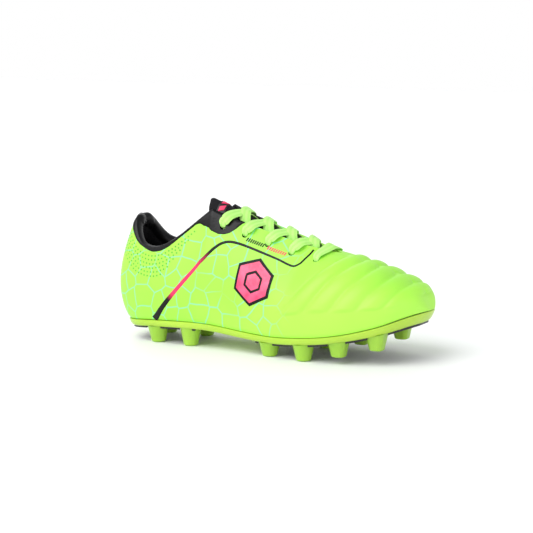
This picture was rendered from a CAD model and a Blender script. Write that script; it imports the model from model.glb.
"""Looks of a child's soccer cleat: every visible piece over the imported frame.

Run as a script it builds the whole shoe. The same operators can be called one by one from the sidebar.
"""
import functools
import math

import bmesh
import bpy
import numpy as np
from bpy.props import FloatProperty, FloatVectorProperty, PointerProperty
from mathutils import Matrix, Vector


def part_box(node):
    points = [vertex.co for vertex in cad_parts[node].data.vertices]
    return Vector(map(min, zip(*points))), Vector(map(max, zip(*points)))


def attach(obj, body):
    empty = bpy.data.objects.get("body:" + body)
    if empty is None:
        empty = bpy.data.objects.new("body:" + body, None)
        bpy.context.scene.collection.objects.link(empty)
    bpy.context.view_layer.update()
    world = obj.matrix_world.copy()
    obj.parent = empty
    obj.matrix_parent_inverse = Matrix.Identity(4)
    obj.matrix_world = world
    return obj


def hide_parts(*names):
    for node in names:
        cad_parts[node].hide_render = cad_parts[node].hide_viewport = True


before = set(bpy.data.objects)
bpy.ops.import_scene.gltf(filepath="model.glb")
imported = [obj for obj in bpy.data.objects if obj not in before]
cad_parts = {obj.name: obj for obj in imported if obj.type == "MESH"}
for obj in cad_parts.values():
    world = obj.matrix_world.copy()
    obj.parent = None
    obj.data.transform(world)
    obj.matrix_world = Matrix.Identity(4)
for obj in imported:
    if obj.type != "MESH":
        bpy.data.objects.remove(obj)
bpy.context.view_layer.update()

bl_info = {
    "name": "Soccer cleat",
    "version": (1, 0, 0),
    "blender": (4, 5, 0),
    "location": "View3D > Sidebar > Cleat",
    "description": "Builds the looks of a child's soccer cleat over its packed frame",
    "category": "Object",
}

MM = 0.001

# ---- The last's shape, in millimetres, in its own frame ----------------------------------------

STATIONS = 12  # from 0 at the back of the heel to 12 at the toe, on each side
CORNER = 4  # station of the top corner of the throat
THROAT_END = 8  # station of the front of the throat
OUTER, INNER = -1, 1
SIDES = (OUTER, INNER)
GAP = 0.3  # between pieces that lie on each other

PLAN = np.array([
    (-1, 0), (3, -13), (16, -23), (38, -27.5), (62, -29), (86, -30), (108, -33),
    (130, -37), (153, -39.5), (176, -37.5), (198, -28.5), (212.5, -14), (218, 3),
    (212.5, 18), (199, 31.5), (177, 38.5), (154, 38), (130, 33), (107, 28.5),
    (84, 26), (60, 26), (36, 26.5), (15, 22.5), (3, 13),
], float)
FEATHER_Z = (12.6, 15, 16.4, 16.6, 14.6, 13.6, 15.2, 18.6, 24.6, 33)
X_HEEL, X_TOE = -1, 218
Z_BALL = 15.5
COLLAR_HEIGHT = 70
INSTEP_HEIGHT = 50
COLLAR = ((4, 0, 1), (6.5, 12, 0.906), (18, 20, 0.748), (38, 22.5, 0.764), (69, 16, 1.106))
RIDGE = ((156.5, 1, 1), (176.5, 2, 0.9), (196, 3, 0.765), (211.5, 3, 0.61))
THROAT_WIDTH, THROAT_FLARE = 10.5, 6
FOOT_OUT = (12.5, 11, 6, 5, 5, 5, 5.5, 5.5, 5, 4.5, 4, 3.6, 3)
FOOT_RISE = (0.3, 0.3, 0.32, 0.34, 0.34, 0.36, 0.36, 0.38, 0.4, 0.42, 0.45, 0.5, 0.5)
TOP_SLOPE = (66, 70, 80, 82, 76, 52, 46, 40, 30)
TOP_REACH = (0.36, 0.36, 0.3, 0.3, 0.3, 0.34, 0.4, 0.44, 0.5, 0.5, 0.5, 0.5, 0.5)

_outer_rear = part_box("stud_heel_outer_rear")
REAR_STUD = (29, -18.5)
SHIFT = np.array([
    REAR_STUD[0] - (_outer_rear[0][0] + _outer_rear[1][0]) / 2 / MM,
    REAR_STUD[1] - (_outer_rear[0][1] + _outer_rear[1][1]) / 2 / MM,
    -_outer_rear[0][2] / MM,
])


def clamp(t):
    return min(1.0, max(0.0, t))


def smooth(t):
    """A smooth step from 0 to 1."""
    t = clamp(t)
    return t * t * (3 - 2 * t)


def mix(a, b, t):
    return a + (b - a) * t


def unit(v):
    return v / np.linalg.norm(v)


def through(points, t, closed=False):
    """A point of a uniform Catmull-Rom curve, t counted in points."""
    n = len(points)
    i = min(int(math.floor(t)), n - 1 if closed else n - 2)
    f = t - i

    def at(k):
        return np.asarray(points[(k + n) % n if closed else min(n - 1, max(0, k))], float)

    a, b, c, d = at(i - 1), at(i), at(i + 1), at(i + 2)
    m, q, rise = (c - a) / 2, (d - b) / 2, c - b
    return b + f * (m + f * (3 * rise - 2 * m - q + f * (m + q - 2 * rise)))


def feather_z(x):
    """Height of the line where the upper meets the outsole."""
    t = clamp((x - X_HEEL) / (X_TOE - X_HEEL))
    return float(through(FEATHER_Z, t * (len(FEATHER_Z) - 1)))


def feather(side, u, out=0.0):
    """A point of the feather line, moved outwards in plan, and its outward direction."""
    n = 2 * STATIONS
    t = u if side == OUTER else (n - u) % n
    p = through(PLAN, t, True)
    ahead, behind = through(PLAN, (t + 0.02) % n, True), through(PLAN, (t - 0.02 + n) % n, True)
    o = unit(np.array([ahead[1] - behind[1], behind[0] - ahead[0]]))
    return np.array([p[0] + o[0] * out, p[1] + o[1] * out, feather_z(p[0])]), o


def collar_top(u):
    """The collar's edge: lengthwise place, half width and height."""
    x, half, share = through(COLLAR, u)
    return x, half, feather_z(X_HEEL) + 1 + COLLAR_HEIGHT * share


RIDGE_LINE = [(x, y, Z_BALL + INSTEP_HEIGHT * share) for x, y, share in RIDGE]
RIDGE_LINE.append((X_TOE, 3, feather_z(X_TOE) + GAP))


def ridge_top(u):
    """A point of the ridge that runs from the throat to the toe."""
    return through(RIDGE_LINE, clamp((u - THROAT_END) / (STATIONS - THROAT_END)) * len(RIDGE))


def throat_top(u):
    """The throat's edge: lengthwise place, half width and height."""
    s = (u - CORNER) / (THROAT_END - CORNER)
    half = THROAT_WIDTH + THROAT_FLARE * (1 - s) ** 3
    x = mix(COLLAR[4][0], RIDGE[0][0], s)
    width = mix(half * math.sqrt(max(0, 1 - s ** 8)), 0, s ** 8)
    return x, width, mix(collar_top(CORNER)[2], ridge_top(THROAT_END)[2], 1.22 * s - 0.22 * s * s)


def top_line(side, u):
    """A point of the upper's top edge on either side."""
    if u >= THROAT_END:
        return ridge_top(u)
    x, half, z = collar_top(u) if u <= CORNER else throat_top(u)
    return np.array([x, side * half + RIDGE[0][1] * smooth(u - THROAT_END + 1), z])


def wall_direction(u, foot, out, top):
    """How the wall leaves the top line on its way down."""
    a = math.radians(float(through(TOP_SLOPE, min(u, THROAT_END))))
    open_way = np.array([out[0] * math.cos(a), out[1] * math.cos(a), -math.sin(a)])
    if u <= THROAT_END - 1:
        return open_way
    e = max(u, THROAT_END)
    tangent = unit(ridge_top(min(STATIONS, e + 0.05)) - ridge_top(max(THROAT_END, e - 0.05)))
    across = unit(np.array([0, 1.0, 0]) - tangent * tangent[1])
    away = foot - top
    flat = tangent * away.dot(tangent) + across * away.dot(across)
    flat = unit(tangent if np.linalg.norm(flat) < 1e-6 else flat)
    if u >= THROAT_END:
        return flat
    return unit(mix(open_way, flat, smooth(u - THROAT_END + 1)))


def wall_curve(side, u):
    """The four Bezier points of the wall at a station."""
    foot, out = feather(side, u)
    a = foot + (0, 0, GAP)
    d = top_line(side, u)
    span = np.linalg.norm(d - a)
    size = clamp(span / 30)
    b = a + np.array([*out, 0]) * float(through(FOOT_OUT, u)) * size
    b[2] += float(through(FOOT_RISE, u)) * span * mix(0.6, 1, size)
    c = d + wall_direction(u, foot, out, d) * float(through(TOP_REACH, u)) * span
    return a, b, c, d


GRID_U, GRID_V = 480, 80


def _wall_grids():
    """Points and outward normals of the whole wall, on a fine grid of stations and heights."""
    points, normals = {}, {}
    v = np.linspace(0, 1, GRID_V + 1)[:, None]
    us = np.linspace(0, STATIONS, GRID_U + 1)
    for side in SIDES:
        rows = []
        for u in us:
            a, b, c, d = wall_curve(side, u)
            rows.append((1 - v) ** 3 * a + 3 * (1 - v) ** 2 * v * b + 3 * (1 - v) * v ** 2 * c + v ** 3 * d)
        p = np.array(rows)
        n = np.cross(np.gradient(p, axis=0), np.gradient(p, axis=1)) * (-side)
        n[0, :, 1] = 0
        n[us >= THROAT_END, -1, 1] = 0
        n[-1] = (1, 0, 0)
        length = np.linalg.norm(n, axis=2, keepdims=True)
        points[side], normals[side] = p, n / np.maximum(length, 1e-9)
    return points, normals


WALL, WALL_NORMAL = _wall_grids()


def _sample(grid, u, v):
    """Linear reading of a wall grid at arrays of stations and heights."""
    x = np.clip(np.asarray(u, float) / STATIONS * GRID_U, 0, GRID_U)
    y = np.clip(np.asarray(v, float) * GRID_V, 0, GRID_V)
    i, j = np.minimum(x.astype(int), GRID_U - 1), np.minimum(y.astype(int), GRID_V - 1)
    f, g = (x - i)[..., None], (y - j)[..., None]
    low = grid[i, j] * (1 - f) + grid[i + 1, j] * f
    high = grid[i, j + 1] * (1 - f) + grid[i + 1, j + 1] * f
    return low * (1 - g) + high * g


def wall(side, u, v, out=0.0):
    """Points of the wall, moved out along its normal, in millimetres."""
    p = _sample(WALL[side], u, v)
    return p + wall_normal(side, u, v) * np.asarray(out, float)[..., None]


def wall_normal(side, u, v):
    n = _sample(WALL_NORMAL[side], u, v)
    return n / np.linalg.norm(n, axis=-1, keepdims=True)


def v_below(side, u, distance):
    """The height at a distance below the top line."""
    v = 1.0
    top = wall(side, u, 1.0)
    while v > 0.3 and np.linalg.norm(wall(side, u, v) - top) < distance:
        v -= 0.004
    return v


# ---- Camera, in the same frame -------------------------------------------------------------------

CAMERA_AZIMUTH, CAMERA_HEIGHT = math.radians(28), math.radians(9)
CAMERA_DISTANCE = 1200
CAMERA_TARGET = np.array([113, 0, 40.0])
CAMERA_ASIDE, CAMERA_UP = 10.5, 3.67  # offset of the lens axis from the target, in the picture plane
LENS, SENSOR, CAMERA_SHIFT = 123.7, 36, 0.029

# ---- Meshes --------------------------------------------------------------------------------------


def new_piece(name, points, faces, material, uv=None, angle=40):
    """A mesh piece from points in the last's millimetres, shaded smooth below an angle."""
    mesh = bpy.data.meshes.new(name)
    places = (np.asarray(points, float) - SHIFT) * MM
    mesh.from_pydata(places.tolist(), [], [tuple(int(k) for k in f) for f in faces])
    if uv is not None:
        layer = mesh.uv_layers.new(name="UVMap")
        index = np.empty(len(mesh.loops), np.int32)
        mesh.loops.foreach_get("vertex_index", index)
        layer.data.foreach_set("uv", np.asarray(uv, np.float32)[index].ravel())
    mesh.materials.append(material)
    piece = bpy.data.objects.new(name, mesh)
    bpy.context.collection.objects.link(piece)
    finish_mesh(piece, angle)
    return piece


def finish_mesh(piece, angle=40):
    """Faces out, edges sharper than the angle kept crisp."""
    bm = bmesh.new()
    bm.from_mesh(piece.data)
    bmesh.ops.remove_doubles(bm, verts=bm.verts, dist=1e-6)
    bmesh.ops.dissolve_degenerate(bm, dist=1e-7, edges=bm.edges)
    bmesh.ops.recalc_face_normals(bm, faces=bm.faces)
    bm.to_mesh(piece.data)
    bm.free()
    piece.data.polygons.foreach_set("use_smooth", [True] * len(piece.data.polygons))
    piece.data.set_sharp_from_angle(angle=math.radians(angle))


def bevel(piece, width, segments, angle):
    """Rounds edges sharper than an angle, over a width in millimetres."""
    mod = piece.modifiers.new("Edge rounding", "BEVEL")
    mod.width = width * MM
    mod.segments = segments
    mod.limit_method = "ANGLE"
    mod.angle_limit = math.radians(angle)
    apply_modifiers(piece)


def apply_modifiers(piece):
    """Replaces the piece's mesh with its evaluated one, and drops the modifiers."""
    graph = bpy.context.evaluated_depsgraph_get()
    made = bpy.data.meshes.new_from_object(piece.evaluated_get(graph))
    piece.modifiers.clear()
    piece.data = made


def carve(piece, cutters, angle=None):
    """Cuts the cutters out of a piece, removes them, and keeps edges sharper than an angle crisp."""
    for cutter in cutters:
        mod = piece.modifiers.new("Cut", "BOOLEAN")
        mod.operation = "DIFFERENCE"
        mod.solver = "MANIFOLD"
        mod.object = cutter
    apply_modifiers(piece)
    for cutter in cutters:
        bpy.data.objects.remove(cutter)
    if angle:
        piece.data.set_sharp_from_angle(angle=math.radians(angle))


def thicken(outer, inner, faces):
    """Points and faces of a closed solid between an open sheet's two faces."""
    n = len(outer)
    edges = dict.fromkeys((a, b) for f in faces for a, b in zip(f, f[1:] + f[:1]))
    rims = [(b, a, n + a, n + b) for a, b in edges if (b, a) not in edges]
    back = [tuple(n + k for k in reversed(f)) for f in faces]
    return np.concatenate([outer, inner]), faces + back + rims


def wall_sheet(us, vs, sides=SIDES, v_of=None):
    """A sheet of the wall: its vertices as side, station and height, and its faces, joined at the
    heel, the ridge and the toe."""
    ids, table, faces = {}, [], []

    def vertex(side, i, j):
        u, v = us[i], vs[j] if v_of is None else v_of(us[i], vs[j])
        shared = u <= 0 or (u >= THROAT_END and v >= 1)
        key = "toe" if u >= STATIONS else (0 if shared else side, i, j)
        if key not in ids:
            ids[key] = len(table)
            table.append((OUTER if shared else side, u, v))
        return ids[key]

    for side in sides:
        for i in range(len(us) - 1):
            for j in range(len(vs) - 1):
                f = [vertex(side, a, b) for a, b in ((i, j), (i + 1, j), (i + 1, j + 1), (i, j + 1))]
                f = tuple(k for n, k in enumerate(f) if k != f[n - 1])
                if len(f) > 2:
                    faces.append(f if side == OUTER else f[::-1])
    return np.array(table), faces


def lengths_along(line):
    """The length gone at each point of a line."""
    return np.concatenate([[0], np.cumsum(np.linalg.norm(np.diff(line, axis=0), axis=1))])


def arc_along(u):
    """Millimetres along the side of the upper from the middle of the heel."""
    us = np.linspace(0, STATIONS, 121)
    return np.interp(u, us, lengths_along(wall(OUTER, us, np.full(121, 0.4))))


def arc_up(table):
    """Millimetres up the wall from the feather line."""
    heights = np.empty(len(table))
    us, vs = np.linspace(0, STATIONS, 61), np.linspace(0, 1, 21)
    for side in SIDES:
        rows = np.array([wall(side, np.full(21, u), vs) for u in us])
        lengths = np.linalg.norm(np.diff(rows, axis=1), axis=2).sum(axis=1)
        pick = table[:, 0] == side
        whole = np.interp(table[pick, 1], us, lengths)
        heights[pick] = whole * table[pick, 2]
    return heights


def on_wall(table, out):
    """Points of a sheet's vertices, `out` millimetres off the wall."""
    out = np.broadcast_to(np.asarray(out, float), (len(table),))
    points = np.empty((len(table), 3))
    for side in SIDES:
        pick = table[:, 0] == side
        points[pick] = wall(side, table[pick, 1], table[pick, 2], out[pick])
    return points


def wall_layer(name, us, vs, outer, inner, material, sides=SIDES, v_of=None, angle=40):
    """A closed layer of the upper between two depths, each a number or one value for each vertex."""
    table, faces = wall_sheet(us, vs, sides, v_of)
    depth = [d(table) if callable(d) else d for d in (outer, inner)]
    points, faces = thicken(on_wall(table, depth[0]), on_wall(table, depth[1]), faces)
    uv = np.tile(np.stack([table[:, 0] * arc_along(table[:, 1]), arc_up(table)], 1) * MM, (2, 1))
    return new_piece(name, points, faces, material, uv, angle)


def steps(a, b, step):
    return np.linspace(a, b, max(2, int(round(abs(b - a) / step)) + 1))


def sheet_between(points, back):
    """Points and faces of a closed sheet between two equal grids of points, given as lists of rows."""
    along, across = len(points), len(points[0])
    corners = [i * across + k for i in range(along - 1) for k in range(across - 1)]
    faces = [(a, a + 1, a + across + 1, a + across) for a in corners]
    return thicken(np.reshape(points, (-1, 3)), np.reshape(back, (-1, 3)), faces)


def loft(rings):
    """Points and faces of a tube with closed ends, through rings of equal length."""
    rings = np.asarray(rings, float)
    count, n = rings.shape[:2]
    faces = [
        (i * n + k, i * n + (k + 1) % n, (i + 1) * n + (k + 1) % n, (i + 1) * n + k)
        for i in range(count - 1) for k in range(n)
    ]
    faces += [tuple(reversed(range(n))), tuple(range((count - 1) * n, count * n))]
    return rings.reshape(-1, 3), faces


def circle(sides):
    """Angles of a circle's corners."""
    return np.linspace(0, 2 * math.pi, sides, endpoint=False)


def assign(piece, node, body="shoe"):
    """Gives a finished piece its body, the node it stands for, if there is one."""
    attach(piece, body)
    if node:
        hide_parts(node)


# ---- Materials ----------------------------------------------------------------------------------


def srgb(code):
    """An sRGB hex code as linear colour."""
    parts = [int(code[k:k + 2], 16) / 255 for k in (1, 3, 5)]
    return tuple(c / 12.92 if c <= 0.04045 else ((c + 0.055) / 1.055) ** 2.4 for c in parts) + (1.0,)


def add(tree, kind, settings=None, **links):
    """Adds a node. Settings name properties or sockets; links name sockets and what feeds them."""
    node = tree.nodes.new(kind)
    for key, value in (settings or {}).items():
        if hasattr(node, key):
            setattr(node, key, value)
        else:
            node.inputs[key].default_value = value
    for key, source in links.items():
        tree.links.new(source, node.inputs[key])
    return node


def material(name, color, roughness, **sockets):
    """A new material with its Principled shader; returns both and the node tree."""
    made = bpy.data.materials.new(name)
    made.use_nodes = True
    shader = made.node_tree.nodes["Principled BSDF"]
    shader.inputs["Base Color"].default_value = srgb(color)
    shader.inputs["Roughness"].default_value = roughness
    for key, value in sockets.items():
        shader.inputs[key.replace("_", " ")].default_value = value
    made.diffuse_color = srgb(color)
    return made, shader, made.node_tree


def scale_for(width):
    """A texture's scale for features of a width in millimetres."""
    return 1 / (width * MM)


def emboss(tree, shader, height, strength, depth):
    """Bends the shader's normals to a height texture, `depth` millimetres deep."""
    bump = add(tree, "ShaderNodeBump", {"Strength": strength, "Distance": depth * MM}, Height=height)
    tree.links.new(bump.outputs["Normal"], shader.inputs["Normal"])


def grain(tree, shader, width, strength, depth, cells=False):
    """Fine surface relief with pores, or with loop-like cells, of a width in millimetres."""
    position = add(tree, "ShaderNodeTexCoord").outputs["Object"]
    if cells:
        texture = add(tree, "ShaderNodeTexVoronoi", {"Scale": scale_for(width)}, Vector=position)
    else:
        settings = {"Scale": scale_for(width), "Detail": 4}
        texture = add(tree, "ShaderNodeTexNoise", settings, Vector=position)
    emboss(tree, shader, texture.outputs["Distance" if cells else "Fac"], strength, depth)


def varied(tree, shader, colors, width):
    """Slow colour variation between two shades, in clouds of a width in millimetres."""
    position = add(tree, "ShaderNodeTexCoord").outputs["Object"]
    settings = {"Scale": scale_for(width), "Detail": 3}
    noise = add(tree, "ShaderNodeTexNoise", settings, Vector=position)
    ramp = add(tree, "ShaderNodeValToRGB", None, Fac=noise.outputs["Fac"])
    ramp.color_ramp.elements[0].position, ramp.color_ramp.elements[1].position = 0.35, 0.65
    ramp.color_ramp.elements[0].color, ramp.color_ramp.elements[1].color = (srgb(c) for c in colors)
    tree.links.new(ramp.outputs["Color"], shader.inputs["Base Color"])


def math_node(tree, operation, a, b=0.0):
    """A Math node of two values, each a number or a socket."""
    node = add(tree, "ShaderNodeMath", {"operation": operation})
    for socket, value in zip(node.inputs, (a, b)):
        if isinstance(value, (int, float)):
            socket.default_value = value
        else:
            tree.links.new(value, socket)
    return node.outputs[0]


def map_range(tree, value, low, high, to_low=0.0, to_high=1.0):
    """A smooth step between two values."""
    settings = {"From Min": low, "From Max": high, "To Min": to_low, "To Max": to_high}
    settings["interpolation_type"] = "SMOOTHSTEP"
    return add(tree, "ShaderNodeMapRange", settings, Value=value).outputs["Result"]


def mix_color(tree, factor, a, b):
    """One colour over another; each is a hex code or a socket."""
    node = add(tree, "ShaderNodeMix", {"data_type": "RGBA"})
    tree.links.new(factor, node.inputs["Factor"])
    for socket, value in ((node.inputs[6], a), (node.inputs[7], b)):
        if isinstance(value, str):
            socket.default_value = srgb(value)
        else:
            tree.links.new(value, socket)
    return node.outputs[2]


# Sizes in the coated face, in millimetres: its slow clouds of colour, its pores, the print's waviness,
# how far that sways the net's lines, and the patches in which the lines fade. The pores are wider than real
# ones, as wide as they need to be to show.
CLOUD, PORES, NET_WAVE, NET_SWAY, NET_FADE = 71.4, 0.625, 16.67, 4.0, 33.33
NET_END = (0.138, 0.168)  # metres from the heel over which the net fades out
NET_LINE = (0.016, 0.045)  # share of a cell at which a line's solid core and its soft edge end


def coated_microfibre(look):
    """Polyurethane-coated microfibre, calendered smooth: a soft satin face with a fine pore grain.
    A printed net of pale turquoise lines covers the rear half."""
    made, shader, tree = material("coated microfibre", "#BDFF62", 0.46, Specular_IOR_Level=0.42)
    coords = add(tree, "ShaderNodeTexCoord")

    def noise(width, detail):
        settings = {"Scale": scale_for(width), "Detail": detail}
        return add(tree, "ShaderNodeTexNoise", settings, Vector=coords.outputs["Object"]).outputs

    cloud = map_range(tree, noise(CLOUD, 2.0)["Fac"], 0.35, 0.65)
    green = mix_color(tree, cloud, look["green_shade"], look["green"])
    shifted = add(tree, "ShaderNodeVectorMath", {"operation": "MULTIPLY_ADD"})
    tree.links.new(noise(NET_WAVE, 1.0)["Color"], shifted.inputs[0])
    shifted.inputs[1].default_value = (NET_SWAY * MM, NET_SWAY * MM, 0)
    tree.links.new(coords.outputs["UV"], shifted.inputs[2])
    settings = {"voronoi_dimensions": "2D", "feature": "DISTANCE_TO_EDGE", "Randomness": 0.85}
    settings["Scale"] = 1 / look["net_cell"]
    cells = add(tree, "ShaderNodeTexVoronoi", settings, Vector=shifted.outputs[0])
    line = map_range(tree, cells.outputs["Distance"], *NET_LINE, 1.0, 0.0)
    along = add(tree, "ShaderNodeSeparateXYZ", None, Vector=coords.outputs["UV"])
    from_heel = math_node(tree, "ABSOLUTE", along.outputs["X"])
    rear = map_range(tree, from_heel, *NET_END, 1.0, 0.0)
    faded = map_range(tree, noise(NET_FADE, 0.0)["Fac"], 0.3, 0.45)
    amount = math_node(tree, "MULTIPLY", math_node(tree, "MULTIPLY", line, rear), faded)
    printed = mix_color(tree, math_node(tree, "MULTIPLY", amount, 0.85), green, look["net"])
    tree.links.new(printed, shader.inputs["Base Color"])
    emboss(tree, shader, noise(PORES, 3.0)["Fac"], 0.12, 0.1)
    return made


def rim_synthetic():
    """Black synthetic binding with a soft leather grain: a low, broad sheen along the fold."""
    made, shader, tree = material("collar binding", "#070608", 0.34, Specular_IOR_Level=0.3)
    grain(tree, shader, 1.43, 0.3, 0.2, cells=True)
    return made


def knit(name, color, shade, loop=1.11):
    """Warp-knitted polyester: a matt face of fine loops with a faint nap. The loops, given in
    millimetres, are wider than real ones, as wide as they need to be to show."""
    made, shader, tree = material(
        name, color, 0.82, Sheen_Weight=0.04, Sheen_Roughness=0.5, Specular_IOR_Level=0.3)
    shader.inputs["Sheen Tint"].default_value = srgb("#8C8894")
    varied(tree, shader, (color, shade), 11.1)
    grain(tree, shader, loop, 0.5, 0.35, cells=True)
    return made


def moulded_plastic(name, color, shade, roughness=0.36, coat=0.15):
    """Injection-moulded thermoplastic polyurethane: satin, faintly cloudy, with a soft highlight."""
    made, shader, tree = material(name, color, roughness, IOR=1.5, Coat_Weight=coat, Coat_Roughness=0.3)
    varied(tree, shader, (color, shade), 41.7)
    grain(tree, shader, 0.667, 0.1, 0.1)
    return made


LACE_PITCH, LACE_RIB = 0.0011, 0.0030  # metres between the weave's diagonals and between its ribs


def woven_lace(look):
    """Flat woven polyester lace: a matt herringbone of fine threads along its length. The threads are
    wider than real ones, as wide as they need to be to show."""
    made, shader, tree = material("woven lace", look["lace"], 0.7, Sheen_Weight=0.12, Sheen_Roughness=0.4)
    length_and_width = add(tree, "ShaderNodeTexCoord").outputs["UV"]
    parts = add(tree, "ShaderNodeSeparateXYZ", None, Vector=length_and_width)
    fold = math_node(tree, "PINGPONG", parts.outputs["Y"], LACE_RIB)
    lean = math_node(tree, "ADD", parts.outputs["X"], fold)
    wave = math_node(tree, "SINE", math_node(tree, "MULTIPLY", lean, 2 * math.pi / LACE_PITCH))
    ribs = math_node(tree, "SINE", math_node(tree, "MULTIPLY", parts.outputs["Y"], 2 * math.pi / LACE_RIB))
    height = math_node(tree, "ADD", wave, ribs)
    tone = mix_color(tree, map_range(tree, height, -1.6, 0.8), look["lace_shade"], look["lace"])
    tree.links.new(tone, shader.inputs["Base Color"])
    emboss(tree, shader, height, 0.3, 0.12)
    return made


def printed_film(name, stops):
    """Transfer-printed film: flat ink with a smooth, slightly glossy face, coloured along its length."""
    made, shader, tree = material(name, stops[0][1], 0.35, Specular_IOR_Level=0.25)
    parts = add(tree, "ShaderNodeSeparateXYZ", None, Vector=add(tree, "ShaderNodeTexCoord").outputs["UV"])
    ramp = add(tree, "ShaderNodeValToRGB", None, Fac=parts.outputs["X"])
    elements = ramp.color_ramp.elements
    elements[0].position, elements[0].color = stops[0][0], srgb(stops[0][1])
    elements[1].position, elements[1].color = stops[-1][0], srgb(stops[-1][1])
    for position, color in stops[1:-1]:
        elements.new(position).color = srgb(color)
    tree.links.new(ramp.outputs["Color"], shader.inputs["Base Color"])
    return made


# ---- The upper -----------------------------------------------------------------------------------

SHELL, LINING, COLLAR_PAD = 1.2, 0.8, 4.2
TRIM_FROM = 0.75
# The skin's top edge, as stations and heights: level round the heel, then a sharp dip at the top eyelet.
SHELL_EDGE = np.array([
    (0, 0.955), (1, 0.96), (2, 0.955), (2.5, 0.922), (2.85, 0.922), (3.1, 0.935), (3.3, 0.955),
    (3.62, 0.965), (3.7, 0.94), (3.8, 0.885), (3.95, 0.835), (4.1, 0.81), (4.35, 0.803), (4.56, 0.82),
    (4.72, 0.85), (4.87, 0.905), (4.97, 0.96), (5.05, 1), (12, 1),
])
U_STEP = 0.05
SKIN_ROWS = 72

EYELET_ROWS = (7.5, 6.75, 5.97, 5.2, 4.45)
EYELET_INSETS = (13, 9, 8.5, 8, 8)
EYELET_RADIUS = 2.1
TOP_ROW = len(EYELET_ROWS) - 1

# Padded ribs of the forefoot: station of each one's middle at its lower end and at the ridge.
RIB_LOW = (7.28, 8.08, 8.85, 9.55, 10.25)
RIB_HIGH = (8.5, 8.98, 9.5, 10.15, 10.85)
RIB_FROM, RIB_RISE, RIB_SINK = 0.215, 1.9, 0.6


def shell_edge(u):
    """Height of the skin's top edge at a station."""
    return float(np.interp(u, SHELL_EDGE[:, 0], SHELL_EDGE[:, 1]))


def skin_row(u, v):
    return v if v <= TRIM_FROM else mix(TRIM_FROM, shell_edge(u), (v - TRIM_FROM) / (1 - TRIM_FROM))


def ease(t):
    """The smooth step of a whole array."""
    t = np.clip(t, 0, 1)
    return t * t * (3 - 2 * t)


def rib_relief(u, v):
    """Height of the forefoot's padded ribs."""
    climb = np.clip((v - RIB_FROM) / (0.95 - RIB_FROM), 0, 1) ** 0.85
    middles = np.array([low + (high - low) * climb for low, high in zip(RIB_LOW, RIB_HIGH)])
    index = np.full(u.shape, -1.0)
    for k in range(len(middles) - 1):
        part = (u - middles[k]) / (middles[k + 1] - middles[k])
        index = np.where((part >= 0) & (part < 1), k + part, index)
    first = (u - middles[0]) / (middles[1] - middles[0])
    index = np.where((first < 0) & (first > -0.5), first, index)
    last = (u - middles[-1]) / (middles[-1] - middles[-2])
    index = np.where((last >= 0) & (last < 0.5), len(middles) - 1 + last, index)
    inside = index > -0.75
    from_middle = np.abs(index - np.round(index)) * 2
    pad = RIB_RISE * (1 - from_middle ** 2.4) - RIB_SINK
    toe_fade = 1 - ease((index - 3.2) / 1.2) * (1 - ease((v - 0.6) / 0.3))
    foot = ease((v - RIB_FROM) / 0.035)
    return pad * foot * np.where(inside, toe_fade, 0)


def skin_relief(table):
    """Height of everything moulded into the upper's face."""
    u, v = table[:, 1], table[:, 2]
    relief = rib_relief(u, v)
    tuck = -0.5 * ease((0.03 - v) / 0.03)
    return relief + tuck


def eyelet(side, row):
    """An eyelet's side, row, station and height."""
    u = EYELET_ROWS[row]
    return side, row, u, v_below(side, u, EYELET_INSETS[row])


def drill(piece, sides, rows, length=14, angle=None):
    """Cuts the eyelets of some sides and rows through a layer, with cylinders of a given length."""
    tools = []
    for side, row, u, v in (eyelet(side, row) for side in sides for row in rows):
        at, n = wall(side, u, v), wall_normal(side, u, v)
        x = unit(np.cross(n, (0, 0, 1.0)))
        y = np.cross(n, x)
        ring = np.array([EYELET_RADIUS * (math.cos(a) * x + math.sin(a) * y) for a in circle(28)])
        points, faces = loft([at + ring - n * length / 2, at + ring + n * length / 2])
        tools.append(new_piece("drill", points, faces, bpy.data.materials[0]))
    carve(piece, tools, angle)


def build_skin(look):
    made = coated_microfibre(look)
    us, vs = steps(0, STATIONS, U_STEP), np.linspace(0, 1, SKIN_ROWS + 1)
    skin = wall_layer("upper_skin", us, vs, skin_relief, -SHELL, made, v_of=skin_row, angle=55)
    drill(skin, SIDES, range(TOP_ROW), angle=55)
    bevel(skin, 0.32, 2, 60)
    assign(skin, "upper_shell")


def pad_depth(u, v):
    """What lies between the skin and the lining: the collar's padding and the eyestay's backing."""
    collar = COLLAR_PAD * ease((3.6 - u) / 0.6) * ease((v - 0.66) / 0.14) * ease((0.985 - v) / 0.045)
    counter = 1.5 * ease((3.1 - u) / 0.4) * ease((0.62 - v) / 0.1)
    eyestay = 1.0 * ease((u - 4.8) / 0.2) * ease((7.7 - u) / 0.2) * ease((v - 0.7) / 0.05)
    puff = 1.1 * ease((u - 9.2) / 0.3)
    return np.maximum.reduce([collar, counter, eyestay, puff])


def lining_face(table):
    return -1.5 - pad_depth(table[:, 1], table[:, 2])


def build_lining():
    made = knit("lining knit", "#0B090C", "#121014")
    us, vs = steps(0, STATIONS, 0.1), np.linspace(0, 1, 49)
    lining = wall_layer(
        "lining_knit", us, vs, lining_face, lambda t: lining_face(t) - LINING, made, angle=60,
        v_of=lambda u, v: v * mix(0.985, 1.0, smooth(u - 5.0)),
    )
    drill(lining, SIDES, range(TOP_ROW + 1), length=24, angle=60)
    assign(lining, "lining")


BINDING_END = 5.05  # station where the collar's binding ends
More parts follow.
